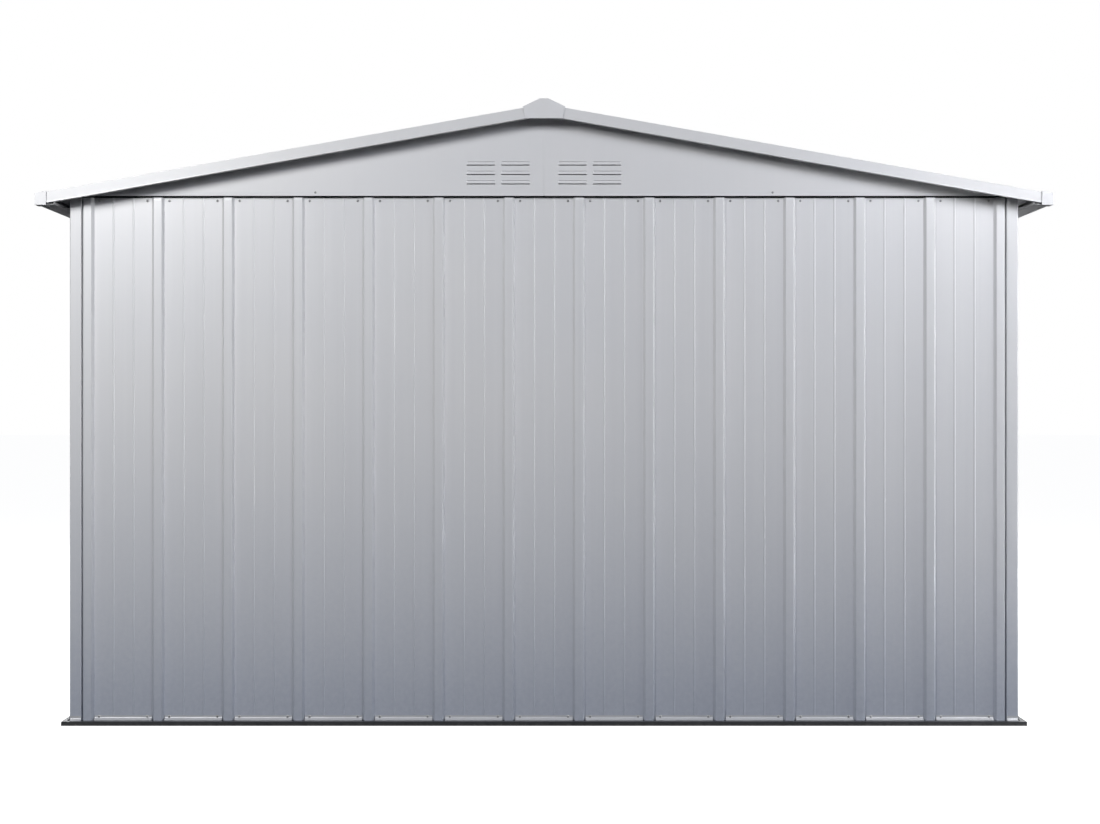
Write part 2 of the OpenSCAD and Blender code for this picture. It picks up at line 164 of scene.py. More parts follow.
def makeWearGroup():
    # Bends rubbed a little brighter in patches
    group, inside, outside = newGroup("edgeWear", [
        ("Amount", "NodeSocketFloat", 0.5),
        ("Patch Scale", "NodeSocketFloat", 14.0),
    ], [("Mask", "NodeSocketFloat")])
    place = group.nodes.new("ShaderNodeTexCoord").outputs["Object"]
    bend = group.nodes.new("ShaderNodeAttribute")
    bend.attribute_name = "bend"
    patches = addNoise(group, place, inside.outputs["Patch Scale"], detail=6.0, roughness=0.7)
    patches = addShifted(group, patches, gain=3.0, shift=-1.0, clamp=True)
    mask = addMath(group, "MULTIPLY", bend.outputs["Fac"], patches)
    mask = addMath(group, "MULTIPLY", mask, inside.outputs["Amount"], True)
    group.links.new(mask, outside.inputs["Mask"])
    return group


def makeDustAndShadeGroup():
    # A mask that thins out above the ground: dust and splash marks, and also painted shade that darkens
    # the sheet towards the ground
    group, inside, outside = newGroup("groundDustAndPaintedShade", [
        ("Height", "NodeSocketFloat", 0.12),
        ("Amount", "NodeSocketFloat", 0.35),
        ("Speckle", "NodeSocketFloat", 1.0),
    ], [("Mask", "NodeSocketFloat")])
    place = group.nodes.new("ShaderNodeTexCoord").outputs["Object"]
    split = group.nodes.new("ShaderNodeSeparateXYZ")
    group.links.new(place, split.inputs[0])
    height = addMath(group, "DIVIDE", split.outputs["Z"], inside.outputs["Height"])
    fall = addMath(group, "SUBTRACT", 1.0, height, True)
    fall = addMath(group, "POWER", fall, 2.0)
    speckle = addNoise(group, place, scale=60.0, detail=8.0, roughness=0.7)
    speckle = addShifted(group, speckle, gain=2.5, shift=-0.75, clamp=True)
    gone = addMath(group, "MULTIPLY", addMath(group, "SUBTRACT", 1.0, speckle), inside.outputs["Speckle"])
    mask = addMath(group, "MULTIPLY", fall, addMath(group, "SUBTRACT", 1.0, gone))
    mask = addMath(group, "MULTIPLY", mask, inside.outputs["Amount"], True)
    group.links.new(mask, outside.inputs["Mask"])
    return group


def makeGrainGroup():
    # Fine texture of a coating or a moulded skin
    group, inside, outside = newGroup("fineGrain", [
        ("Scale", "NodeSocketFloat", 900.0),
        ("Wave Scale", "NodeSocketFloat", 6.0),
        ("Wave", "NodeSocketFloat", 0.5),
    ], [("Height", "NodeSocketFloat")])
    place = group.nodes.new("ShaderNodeTexCoord").outputs["Object"]
    grain = addNoise(group, place, inside.outputs["Scale"], detail=2.0, roughness=0.5)
    wave = addNoise(group, place, inside.outputs["Wave Scale"], detail=1.0, roughness=0.3)
    wave = addMath(group, "MULTIPLY", wave, inside.outputs["Wave"])
    height = addMath(group, "ADD", grain, wave)
    group.links.new(height, outside.inputs["Height"])
    return group


toneGroup = makeToneGroup()
wearGroup = makeWearGroup()
dustAndShadeGroup = makeDustAndShadeGroup()
grainGroup = makeGrainGroup()


def placeGroup(tree, group, values):
    node = tree.nodes.new("ShaderNodeGroup")
    node.node_tree = group
    setInputs(node, values)
    return node


def makeMaterial(name, finish):
    material = bpy.data.materials.new(name)
    material.use_nodes = True
    tree = material.node_tree
    shader = tree.nodes["Principled BSDF"]
    shader.inputs["Metallic"].default_value = finish["metallic"]
    shader.inputs["IOR"].default_value = finish["ior"]
    tone = placeGroup(tree, toneGroup, {
        "Color": (*finish["color"], 1),
        "Tint": (*finish["tint"], 1),
        "Cloud Scale": finish["cloudScale"],
        "Streak Scale": finish["streakScale"],
        "Streak Depth": finish["streakDepth"],
    })
    wear = placeGroup(tree, wearGroup, {"Amount": finish["wear"], "Patch Scale": finish["wearScale"]})
    dust = placeGroup(tree, dustAndShadeGroup, {"Height": finish["dustHeight"], "Amount": finish["dust"]})
    worn = addMix(tree, wear.outputs["Mask"], tone.outputs["Color"], (*finish["wornColor"], 1))
    # Painted shade: a blue-grey tone over most of the wall's height that deepens towards the ground, in
    # place of light falling off lower down
    paintedShade = placeGroup(tree, dustAndShadeGroup, {
        "Height": finish["paintedShadeHeight"], "Amount": finish["paintedShade"], "Speckle": finish["paintedShadeSpeckle"]})
    withPaintedShade = addMix(tree, paintedShade.outputs["Mask"], worn, (*finish["paintedShadeColor"], 1))
    dusty = addMix(tree, dust.outputs["Mask"], withPaintedShade, (*finish["dustColor"], 1))
    tree.links.new(dusty, shader.inputs["Base Color"])
    rough = addMath(tree, "SUBTRACT", tone.outputs["Streaks"], 0.5)
    rough = addShifted(tree, rough, finish["roughSpread"], finish["roughness"])
    dustRough = addMath(tree, "MULTIPLY", dust.outputs["Mask"], finish["dustRough"])
    rough = addMath(tree, "ADD", rough, dustRough, True)
    tree.links.new(rough, shader.inputs["Roughness"])
    grain = placeGroup(tree, grainGroup, {
        "Scale": finish["grainScale"], "Wave Scale": finish["waveScale"], "Wave": finish["wave"]})
    bump = tree.nodes.new("ShaderNodeBump")
    bump.inputs["Distance"].default_value = finish["bump"]
    bump.inputs["Strength"].default_value = finish["bumpStrength"]
    tree.links.new(grain.outputs["Height"], bump.inputs["Height"])
    tree.links.new(bump.outputs[0], shader.inputs["Normal"])
    return material


zincCoat = {
    "color": (0.742, 0.742, 0.75), "tint": (0.72, 0.725, 0.742), "wornColor": (0.85, 0.86, 0.88),
    "dustColor": (0.42, 0.40, 0.37), "metallic": 0.12, "ior": 1.5, "roughness": 0.38, "roughSpread": 0.10,
    "cloudScale": 2.2, "streakScale": 70.0, "streakDepth": 0.05, "wear": 0.35, "wearScale": 9.0,
    # The first four keys on the next line paint shade: a blue-grey darkening of the sheet towards the
    # ground
    "paintedShadeColor": (0.38, 0.42, 0.51), "paintedShadeHeight": 1.2, "paintedShade": 0.95, "paintedShadeSpeckle": 0.2,
    "dustHeight": 0.16, "dust": 0.2, "dustRough": 0.3, "grainScale": 900.0, "waveScale": 5.0,
    "wave": 0.3, "bump": 0.0002, "bumpStrength": 0.25,
}
wallMaterial = makeMaterial("zincCoatedWallSheet", zincCoat)
gableMaterial = makeMaterial("zincCoatedGableSheet", {
    **zincCoat, "color": (0.70, 0.70, 0.707), "tint": (0.68, 0.684, 0.70), "roughness": 0.48,
    "streakDepth": 0.03})
roofMaterial = makeMaterial("zincCoatedRoofSheet", {
    **zincCoat, "color": (0.60, 0.60, 0.61), "tint": (0.57, 0.575, 0.59), "wornColor": (0.72, 0.73, 0.75),
    "metallic": 0.2, "roughness": 0.46, "cloudScale": 1.6, "paintedShade": 0.0, "dust": 0.0})
trimMaterial = makeMaterial("paintedTrim", {
    **zincCoat, "color": (0.715, 0.715, 0.723), "tint": (0.70, 0.705, 0.72), "metallic": 0.1,
    "roughness": 0.38, "streakDepth": 0.02, "wear": 0.5})
roofTrimMaterial = makeMaterial("paintedRoofTrim", {
    **zincCoat, "color": (0.705, 0.705, 0.709), "tint": (0.695, 0.698, 0.707), "metallic": 0.1,
    "roughness": 0.38, "streakDepth": 0.02, "wear": 0.5})
railMaterial = makeMaterial("galvanisedRail", {
    **zincCoat, "color": (0.80, 0.80, 0.81), "tint": (0.72, 0.73, 0.75), "cloudScale": 38.0,
    "metallic": 0.45, "roughness": 0.38, "dustHeight": 0.05, "dust": 0.4})
tabMaterial = makeMaterial("galvanisedTab", {
    **zincCoat, "paintedShade": 0.0, "color": (0.53, 0.535, 0.55), "tint": (0.49, 0.50, 0.52), "metallic": 0.2,
    "roughness": 0.4, "dustHeight": 0.05, "dust": 0.3})
ledgeMaterial = makeMaterial("darkLedge", {
    **zincCoat, "paintedShade": 0.0, "color": (0.05, 0.052, 0.06), "tint": (0.04, 0.042, 0.048),
    "wornColor": (0.16, 0.16, 0.17), "metallic": 0.3, "roughness": 0.4, "dustHeight": 0.03, "dust": 0.15})
# Painted shadow: the top rails under the gables are near black and barely reflect, so the gap below each
# gable reads as deep shade
railPaintedShadowMaterial = makeMaterial("topRailPaintedShadow", {
    **zincCoat, "paintedShade": 0.0, "color": (0.015, 0.015, 0.018), "tint": (0.02, 0.02, 0.022),
    "wornColor": (0.03, 0.03, 0.03), "metallic": 0.0, "roughness": 0.6, "ior": 1.15, "dust": 0.0})
edgeMaterial = makeMaterial("darkEdgeStrip", {
    **zincCoat, "paintedShade": 0.0, "color": (0.022, 0.023, 0.026), "tint": (0.03, 0.031, 0.034),
    "wornColor": (0.09, 0.09, 0.095), "metallic": 0.0, "roughness": 0.5, "dustHeight": 0.02,
    "dust": 0.18})
capMaterial = makeMaterial("mouldedEndCap", {
    **zincCoat, "color": (0.71, 0.71, 0.714), "paintedShade": 0.0, "wornColor": (0.78, 0.79, 0.80),
    "metallic": 0.1, "roughness": 0.38, "cloudScale": 12.0, "streakDepth": 0.0, "grainScale": 1600.0,
    "dust": 0.0})
screwMaterial = makeMaterial("zincPlatedScrew", {
    **zincCoat, "paintedShade": 0.0, "color": (0.36, 0.365, 0.38), "tint": (0.28, 0.285, 0.30),
    "cloudScale": 160.0, "metallic": 0.7, "roughness": 0.34})
washerMaterial = makeMaterial("paleWasher", {
    **zincCoat, "paintedShade": 0.0, "color": (0.66, 0.66, 0.65), "tint": (0.60, 0.60, 0.58), "metallic": 0.0,
    "roughness": 0.45, "streakDepth": 0.0, "cloudScale": 90.0, "dust": 0.3})
print("materials made")


# Sheets

# The least turn in radians that gets an arc, the share of a side that an arc may take, the limit
# of a mitre, and the distance under which two edges count as one
folds = {"leastTurn": 0.02, "roomShare": 0.48, "leastMitre": 0.3, "touch": 0.001}


def direction(start, end):
    across = end[0] - start[0]
    along = end[1] - start[1]
    length = math.hypot(across, along)
    return across / length, along / length


def roundedLine(points, steps=4):
    # Points are (a, b) or (a, b, bend radius). Gives (a, b, share of bend) with each corner as an arc
    line = []
    for index, point in enumerate(points):
        radius = point[2] if len(point) > 2 else 0.0
        if index in (0, len(points) - 1) or radius <= 0:
            line.append((point[0], point[1], 0.0))
            continue
        before = points[index - 1]
        after = points[index + 1]
        inX, inY = direction(before, point)
        outX, outY = direction(point, after)
        turn = math.atan2(inX * outY - inY * outX, inX * outX + inY * outY)
        if abs(turn) < folds["leastTurn"]:
            line.append((point[0], point[1], 0.0))
            continue
        shortest = min(math.hypot(point[0] - before[0], point[1] - before[1]),
                       math.hypot(after[0] - point[0], after[1] - point[1]))
        tangent = min(radius * math.tan(abs(turn) / 2), folds["roomShare"] * shortest)
        radius = tangent / math.tan(abs(turn) / 2)
        side = 1 if turn > 0 else -1
        startX = point[0] - inX * tangent
        startY = point[1] - inY * tangent
        centreX = startX - inY * radius * side
        centreY = startY + inX * radius * side
        for step in range(steps + 1):
            angle = turn * step / steps
            offsetX = startX - centreX
            offsetY = startY - centreY
            line.append((
                centreX + offsetX * math.cos(angle) - offsetY * math.sin(angle),
                centreY + offsetX * math.sin(angle) + offsetY * math.cos(angle),
                0.0 if step in (0, steps) else 1.0))
    return line


def otherFace(line, thickness):
    # The line of the sheet's other face, to the left of the line where thickness is positive
    result = []
    last = len(line) - 1
    for index, point in enumerate(line):
        inEnd = max(index, 1)
        outStart = min(index, last - 1)
        inX, inY = direction(line[inEnd - 1], line[inEnd])
        outX, outY = direction(line[outStart], line[outStart + 1])
        scale = thickness / max(folds["leastMitre"], 1 + inX * outX + inY * outY)
        result.append((point[0] - (inY + outY) * scale, point[1] + (inX + outX) * scale, point[2]))
    return result


def meshPiece(name, verts, faces, material, replaced=(), bend=(), sharpAngle=30):
    mesh = bpy.data.meshes.new(name)
    mesh.from_pydata(verts, [], faces)
    work = bmesh.new()
    work.from_mesh(mesh)
    bmesh.ops.recalc_face_normals(work, faces=work.faces[:])
    work.to_mesh(mesh)
    work.free()
    if bend:
        mesh.attributes.new("bend", "FLOAT", "POINT").data.foreach_set("value", bend)
    mesh.materials.append(material)
    mesh.shade_smooth()
    mesh.set_sharp_from_angle(angle=math.radians(sharpAngle))
    piece = placePiece(mesh, replaced)
    weighted = piece.modifiers.new("faces stay flat", "WEIGHTED_NORMAL")
    weighted.keep_sharp = True
    return piece


def placePiece(mesh, replaced):
    piece = bpy.data.objects.new(mesh.name, mesh)
    bpy.context.scene.collection.objects.link(piece)
    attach(piece, "root")
    if replaced:
        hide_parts(*replaced)
    return piece


def sweptSheet(line, thickness, stations, place):
    # A folded sheet along the stations, with place(a, b, station) as the point in space
    front = line
    back = otherFace(line, thickness)
    count = len(line)
    verts = []
    bend = []
    for station in stations:
        for points in (front, back):
            verts += [place(a, b, station) for a, b, share in points]
            bend += [share for a, b, share in points]
    faces = []
    ring = 2 * count
    for row in range(len(stations) - 1):
        base = row * ring
        for i in range(count - 1):
            faces.append((base + i, base + i + 1, base + ring + i + 1, base + ring + i))
            j = base + count + i
            faces.append((j + 1, j, j + ring, j + ring + 1))
        for i in (0, count - 1):
            faces.append((base + i, base + ring + i, base + ring + count + i, base + count + i))
    for base in (0, (len(stations) - 1) * ring):
        for i in range(count - 1):
            faces.append((base + i, base + i + 1, base + count + i + 1, base + count + i))
    return verts, faces, bend


def joined(parts):
    verts = []
    faces = []
    bend = []
    for someVerts, someFaces, someBend in parts:
        shift = len(verts)
        verts += someVerts
        faces += [tuple(i + shift for i in face) for face in someFaces]
        bend += someBend
    return verts, faces, bend


def evenSteps(start, end, step):
    count = max(1, round((end - start) / step))
    return [start + (end - start) * i / count for i in range(count + 1)]


# Slight unevenness that roll-formed sheet keeps
waves = {"across": 2.3, "along": 1.4, "shift": (7.1, -3.7)}


def sheetWave(x, y, z, amount):
    shiftX, shiftY = waves["shift"]
    place = Vector((x * waves["across"] + shiftX, y * waves["across"] + shiftY, z * waves["along"]))
    return amount * noise.noise(place)


def halfLength(wall):
    return wallHalf if wall % 2 == 0 else depthHalf


def onWall(wall, a, b, z):
    # The point a along the wall from its middle, b outwards from its trims' face and z above the ground
    reach = halfLength(wall + 1)
    x = a
    y = -(reach + b)
    for _ in range(wall):
        x, y = -y, x
    return Vector((x, y, z))


ribs = {
    "pitch": 0.224, "foot": 0.039, "crown": 0.025, "height": 0.012, "bend": 0.0014,
    "beadWidth": 0.006, "beadHeight": 0.002, "beadAt": 0.032, "beadBend": 0.0008,
    "lap": 0.007, "lapLift": 0.0006, "wave": 0.0003, "calm": 8, "step": 0.07, "topRoom": 0.0012,
    "press": 0.009, "pressMiddle": 0.004, "pressShare": 0.18,
}


def ribLine(middle, base, skipStart=False):
    points = [
        (middle - ribs["foot"] / 2, base, ribs["bend"]),
        (middle - ribs["crown"] / 2, base + ribs["height"], ribs["bend"]),
        (middle + ribs["crown"] / 2, base + ribs["height"], ribs["bend"]),
        (middle + ribs["foot"] / 2, base, ribs["bend"])]
    return points[1:] if skipStart else points


def beadLine(middle, base):
    points = []
    for side in (-1, 1):
        at = middle + side * ribs["beadAt"]
        for reach, height in ((-2, 0), (-1, 1), (1, 1), (2, 0)):
            across = at + reach * ribs["beadWidth"] / 4
            points.append((across, base + height * ribs["beadHeight"], ribs["beadBend"]))
    return points


def ribbedLine(start, end, places, pitch, base):
    # A panel whose first rib starts at its edge laps over its neighbour there, and beads lie between ribs
    lapped = abs(start - places[0] + ribs["foot"] / 2) < folds["touch"]
    points = []
    if lapped:
        lift = base + sheetThickness + ribs["lapLift"]
        points = [(start - ribs["lap"], lift), (start, lift, ribs["bend"])]
    else:
        points = [(start, base)]
    for index, middle in enumerate(places):
        points += ribLine(middle, base, skipStart=lapped and index == 0)
        if middle + pitch < end + ribs["foot"]:
            points += beadLine(middle + pitch / 2, base)
    if abs(end - points[-1][0]) > folds["touch"] / 2:
        points.append((end, base))
    return points


def evenRibs(span, nearPitch):
    # Places of the ribs on both sides of the middle, at the even pitch that is nearest
    count = round(span / nearPitch) + 1
    pitch = span / (count - 1)
    return [-span / 2 + i * pitch for i in range(count)], pitch


def wallRibs(wall):
    # The ribs of a wall fill the room between its corner trims
    return evenRibs(2 * (halfLength(wall) - cornerWidth) - ribs["foot"], ribs["pitch"])


wallPanels = {
    0: [("front_wall_left", 0, 4), ("front_wall_middle", 5, 7), ("front_wall_right", 8, 13)],
    1: [("right_wall_front", 0, 4), ("right_wall_rear", 5, 10)],
    2: [("back_wall_right", 0, 4), ("back_wall_middle", 5, 7), ("back_wall_left", 8, 13)],
    3: [("left_wall_rear", 0, 4), ("left_wall_front", 5, 10)],
}


def makeWallPanel(wall, name, first, last):
    places, pitch = wallRibs(wall)
    base = -ribs["height"]
    edge = halfLength(wall) + (base if wall % 2 == 0 else base - sheetThickness)
    start = -edge if first == 0 else places[first] - ribs["foot"] / 2
    end = edge if last == len(places) - 1 else places[last + 1] - ribs["foot"] / 2
    line = roundedLine(ribbedLine(start, end, places[first:last + 1], pitch, base))
    top = wallTop - ribs["topRoom"]
    stations = evenSteps(ledgeTop, top - ribs["press"], ribs["step"]) + [top - ribs["pressMiddle"], top]

    def place(a, b, z):
        # The top of each fold is pressed back a little
        press = max(0.0, (z - top + ribs["press"]) / ribs["press"])
        b = base + (b - base) * (1 - ribs["pressShare"] * press * press)
        b += sheetWave(a, wall, z, ribs["wave"]) * min(1, (wallTop - z) * ribs["calm"])
        return onWall(wall, a, b, z)

    verts, faces, bend = sweptSheet(line, -sheetThickness, stations, place)
    return meshPiece("sheet_" + name, verts, faces, wallMaterial, [name], bend)


for wall, panels in wallPanels.items():
    for name, first, last in panels:
        makeWallPanel(wall, name, first, last)
print("wall panels made")


cornerTrim = {"outerBend": 0.004, "returnBend": 0.002, "arcSteps": 5, "step": 0.2}


def makeCornerTrim(name, side, end):
    base = ribs["height"]
    line = roundedLine([
        (-base, -cornerWidth), (0, -cornerWidth, cornerTrim["returnBend"]),
        (0, 0, cornerTrim["outerBend"]),
        (-cornerWidth, 0, cornerTrim["returnBend"]), (-cornerWidth, -base)], cornerTrim["arcSteps"])

    def place(a, b, z):
        return Vector((side * (wallHalf + a), end * (depthHalf + b), z))

    stations = evenSteps(ledgeTop, wallTop, cornerTrim["step"])
    verts, faces, bend = sweptSheet(line, sheetThickness, stations, place)
    return meshPiece("folded_" + name, verts, faces, trimMaterial, [name], bend)


for side, sideName in ((-1, "left"), (1, "right")):
    for end, endName in ((-1, "front"), (1, "back")):
        makeCornerTrim(f"corner_trim_{endName}_{sideName}", side, end)
print("corner trims made")


# Roof

roof = {"ridgeGap": 0.020, "room": 0.003, "edge": 0.004, "ribPitch": 0.220, "step": 0.08, "calm": 4}


def onSlope(side, s, y, n):
    x = s * math.cos(roofPitch) + n * math.sin(roofPitch)
    z = peakZ - s * math.sin(roofPitch) + n * math.cos(roofPitch)
    return Vector((side * x, y, z))


def roofRibs():
    # The ribs of a slope fill the room between its barges
    edge = eaveEnd - roof["room"]
    return evenRibs(2 * (edge - roof["edge"]) - ribs["foot"], roof["ribPitch"])


def makeRoofPanels():
    edge = eaveEnd - roof["room"]
    places, pitch = roofRibs()
    count = len(places)
    base = -sheetThickness - ribs["height"]
    length = (eaveOuter - sheetThickness - roof["room"]) / math.cos(roofPitch)
    jointA = round(count / 3)
    jointB = round(count * 2 / 3)
    parts = (("front", 0, jointA - 1), ("middle", jointA, jointB - 1), ("rear", jointB, count - 1))
    for side, sideName in ((-1, "left"), (1, "right")):
        for partName, first, last in parts:
            start = -edge if first == 0 else places[first] - ribs["foot"] / 2
            end = edge if last == count - 1 else places[last + 1] - ribs["foot"] / 2
            line = roundedLine(ribbedLine(start, end, places[first:last + 1], pitch, base))

            def place(a, b, s):
                inner = min(1.0, (s - roof["ridgeGap"]) * roof["calm"], (length - s) * roof["calm"])
                return onSlope(side, s, a, b + sheetWave(a, side, s, ribs["wave"]) * max(0.0, inner))

            name = f"roof_{sideName}_{partName}"
            stations = evenSteps(roof["ridgeGap"], length, roof["step"])
            verts, faces, bend = sweptSheet(line, -sheetThickness, stations, place)
            meshPiece("sheet_" + name, verts, faces, roofMaterial, [name], bend)


makeRoofPanels()
print("roof panels made")


barge = {"flange": 0.042, "height": 0.035, "hemHeight": 0.006, "hemOut": 0.0003, "return": 0.012,
         "bend": 0.0018, "hemBend": 0.004, "edgeBend": 0.0009, "square": 0.003, "cutShare": 0.8,
         "steps": 14}


def makeBarge(side, end, name):
    reach = eaveEnd + sheetThickness
    hem = -reach - barge["hemOut"]
    line = roundedLine([
        (-reach + barge["flange"], 0), (-reach + barge["square"], 0), (-reach, 0, barge["bend"]),
        (-reach, -barge["height"] + barge["hemHeight"], barge["hemBend"]),
        (hem, -barge["height"], barge["edgeBend"]), (-reach + barge["square"], -barge["height"]),
        (hem + barge["return"], -barge["height"])])

    def place(a, b, share):
        # Both ends are cut upright, and the flanges stop at the eave trim
        stop = eaveOuter if a < -reach + barge["cutShare"] * barge["square"] else eaveInner - edgeGap
        s = (share * stop - b * math.sin(roofPitch)) / math.cos(roofPitch)
        point = onSlope(side, s, a if end < 0 else -a, b)
        point.z = max(point.z, eaveBottom)
        return point

    stations = [i / barge["steps"] for i in range(barge["steps"] + 1)]
    verts, faces, bend = sweptSheet(line, sheetThickness, stations, place)
    return meshPiece("folded_" + name, verts, faces, roofTrimMaterial, [name], bend)


for side, sideName in ((-1, "left"), (1, "right")):
    for end, endName in ((-1, "front"), (1, "back")):
        makeBarge(side, end, f"barge_{endName}_{sideName}")
print("barge trims made")


eaveTrim = {"lip": 0.008, "topBend": 0.003, "bottomBend": 0.0025, "lipBend": 0.0015, "arcSteps": 5,
            "step": 0.2}


def makeEaveTrim(side, name):
    line = roundedLine([
        (eaveInner, roofHeight(eaveInner)), (eaveOuter, roofHeight(eaveOuter), eaveTrim["topBend"]),
        (eaveOuter, eaveBottom, eaveTrim["bottomBend"]), (eaveInner, eaveBottom, eaveTrim["lipBend"]),
        (eaveInner, eaveBottom + eaveTrim["lip"])], eaveTrim["arcSteps"])

    def place(a, b, y):
        return Vector((side * a, y, b))

    stations = evenSteps(-eaveEnd, eaveEnd, eaveTrim["step"])
    verts, faces, bend = sweptSheet(line, -sheetThickness, stations, place)
    return meshPiece("folded_" + name, verts, faces, roofTrimMaterial, [name], bend)


makeEaveTrim(-1, "eave_trim_left")
makeEaveTrim(1, "eave_trim_right")


ridge = {"half": 0.0675, "flat": 0.0135, "rise": 0.017, "skirt": 0.009, "wall": 0.002, "bend": 0.006,
         "skirtBend": 0.002, "arcSteps": 6, "step": 0.2}


def makeRidgeCap():
    # The cap follows the inner face of its end caps, and its edges turn down to the roof
    rim = [(-ridge["half"], peakZ - ridge["skirt"], 0), (-ridge["flat"], peakZ + ridge["rise"], 0),
           (ridge["flat"], peakZ + ridge["rise"], 0), (ridge["half"], peakZ - ridge["skirt"], 0)]
    inside = otherFace(rim, -ridge["wall"])
    halfWidth = ridge["half"] - ridge["wall"]
    slope = (inside[1][1] - inside[0][1]) / (inside[1][0] - inside[0][0])
    shoulder = inside[1][1] - slope * (halfWidth + inside[1][0])
    foot = roofHeight(halfWidth - sheetThickness)
    line = roundedLine([
        (-halfWidth, foot), (-halfWidth, shoulder, ridge["skirtBend"]),
        (inside[1][0], inside[1][1], ridge["bend"]), (inside[2][0], inside[2][1], ridge["bend"]),
        (halfWidth, shoulder, ridge["skirtBend"]), (halfWidth, foot)], ridge["arcSteps"])
    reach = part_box("ridge_cap")[1].y

    def place(a, b, y):
        return Vector((a, y, b))

    stations = evenSteps(-reach, reach, ridge["step"])
    verts, faces, bend = sweptSheet(line, -sheetThickness, stations, place)
    return meshPiece("folded_ridge_cap", verts, faces, roofTrimMaterial, ["ridge_cap"], bend)


makeRidgeCap()
print("roof trims made")


# Gables

louvre = {"width": 0.090, "height": 0.0105, "out": 0.0033, "dip": 0.0026, "crease": 0.16, "slot": 0.0030,
          "end": 0.07, "low": 0.045, "row": 0.030, "near": 0.091, "column": 0.110,
          # shares down the hood and shares of its half width where its faces meet
          "downShares": (0, 0.04, 0.07, 0.10, 0.13, 0.17, 0.25, 0.4, 0.6, 0.8, 0.95, 1),
          "sideShares": (0.2, 0.6, 0.88, 0.93, 0.96, 0.985, 1)}
gable = {"hem": 0.009, "hemOut": 0.003, "flange": 0.020, "jointFlange": 0.015, "jointBend": 0.0005,
         "jointGap": 0.0001, "arcSteps": 5, "step": 0.15, "sharpAngle": 50}
underRoof = 2 * sheetThickness + ribs["height"]


def gableColumns():
    # Where the plate's columns of faces start and end: at the louvres, and where the hem meets the roof
    marks = {gable["jointGap"] + gable["jointBend"], wallHalf}
    hemEnd = (roofHeight(0, underRoof) - gableBottom - gable["hem"]) / math.tan(roofPitch)
    marks.add(hemEnd)
    for column in range(2):
        middle = louvre["near"] + column * louvre["column"]
        marks |= {middle - louvre["width"] / 2, middle + louvre["width"] / 2}
    ordered = sorted(marks)
    result = [ordered[0]]
    for start, end in zip(ordered, ordered[1:]):
        result += evenSteps(start, end, gable["step"])[1:]
    return result


def louvreCentres():
    low = gableBottom + louvre["low"]
    return [(louvre["near"] + column * louvre["column"], low + row * louvre["row"])
            for column in range(2) for row in range(3)]


def hoodOut(across, down):
    # A pressed hood: a crease along its top, then an even swell, closed at both ends
    past = max(0.0, (abs(across) - 1 + louvre["end"]) / louvre["end"])
    ends = math.sqrt(max(0.0, 1 - past * past))
    if down < louvre["crease"]:
        return -ends * louvre["dip"] * down / louvre["crease"]
    share = (down - louvre["crease"]) / (1 - louvre["crease"])
    return ends * (share * louvre["out"] - louvre["dip"])


def gableFlats():
    # The flat faces of a gable half: plate, hem and roof flange. A face is four points (x, u, z)
    quads = []
    hemTop = gableBottom + gable["hem"]
    face = sheetThickness

    def top(x):
        return roofHeight(x, underRoof)

    columns = gableColumns()
    for x0, x1 in zip(columns, columns[1:]):
        middle = (x0 + x1) / 2
        cuts = sorted(z for x, z in louvreCentres() if abs(x - middle) < louvre["width"] / 2)
        levels = [hemTop]
        for z in cuts:
            levels += [z - louvre["height"] / 2 - louvre["slot"], z + louvre["height"] / 2]
        if top(middle) > hemTop:
            for low, high in zip(levels[::2], levels[1::2] + [None]):
                ends = (high, high) if high is not None else (top(x0), top(x1))
                quads.append([(x0, face, low), (x1, face, low), (x1, face, ends[1]), (x0, face, ends[0])])
        hem0 = min(hemTop, top(x0))
        hem1 = min(hemTop, top(x1))
        lean0 = gable["hemOut"] * (hemTop - hem0) / gable["hem"]
        lean1 = gable["hemOut"] * (hemTop - hem1) / gable["hem"]
        foot = face + gable["hemOut"]
        quads.append([(x0, foot, gableBottom), (x1, foot, gableBottom),
                      (x1, face + lean1, hem1), (x0, face + lean0, hem0)])
        quads.append([(x0, face, top(x0)), (x1, face, top(x1)),
                      (x1, -gable["flange"], top(x1)), (x0, -gable["flange"], top(x0))])
    return quads


def gableCurves():
    # The pressed hoods, and the rounded edge and flange at the joint of the two halves
    quads = []
    rows = louvre["downShares"]
    steps = [-share for share in reversed(louvre["sideShares"])] + list(louvre["sideShares"])
    face = sheetThickness
    for middle, z in louvreCentres():
        for a0, a1 in zip(steps, steps[1:]):
            for high, low in zip(rows, rows[1:]):
                corners = []
                for across, down in ((a0, low), (a1, low), (a1, high), (a0, high)):
                    corners.append((middle + across * louvre["width"] / 2, face + hoodOut(across, down),
                                    z + louvre["height"] / 2 - down * louvre["height"]))
                quads.append(corners)
    gap = gable["jointGap"]
    bend = gable["jointBend"]
    hemTop = gableBottom + gable["hem"]
    joint = [(gap + bend, face), (gap, face, bend), (gap, -gable["jointFlange"])]
    line = roundedLine(joint, gable["arcSteps"])
    for (x0, u0, _), (x1, u1, _) in zip(line, line[1:]):
        quads.append([(x1, u1, hemTop), (x0, u0, hemTop),
                      (x0, u0, roofHeight(x0, underRoof)), (x1, u1, roofHeight(x1, underRoof))])
    return quads


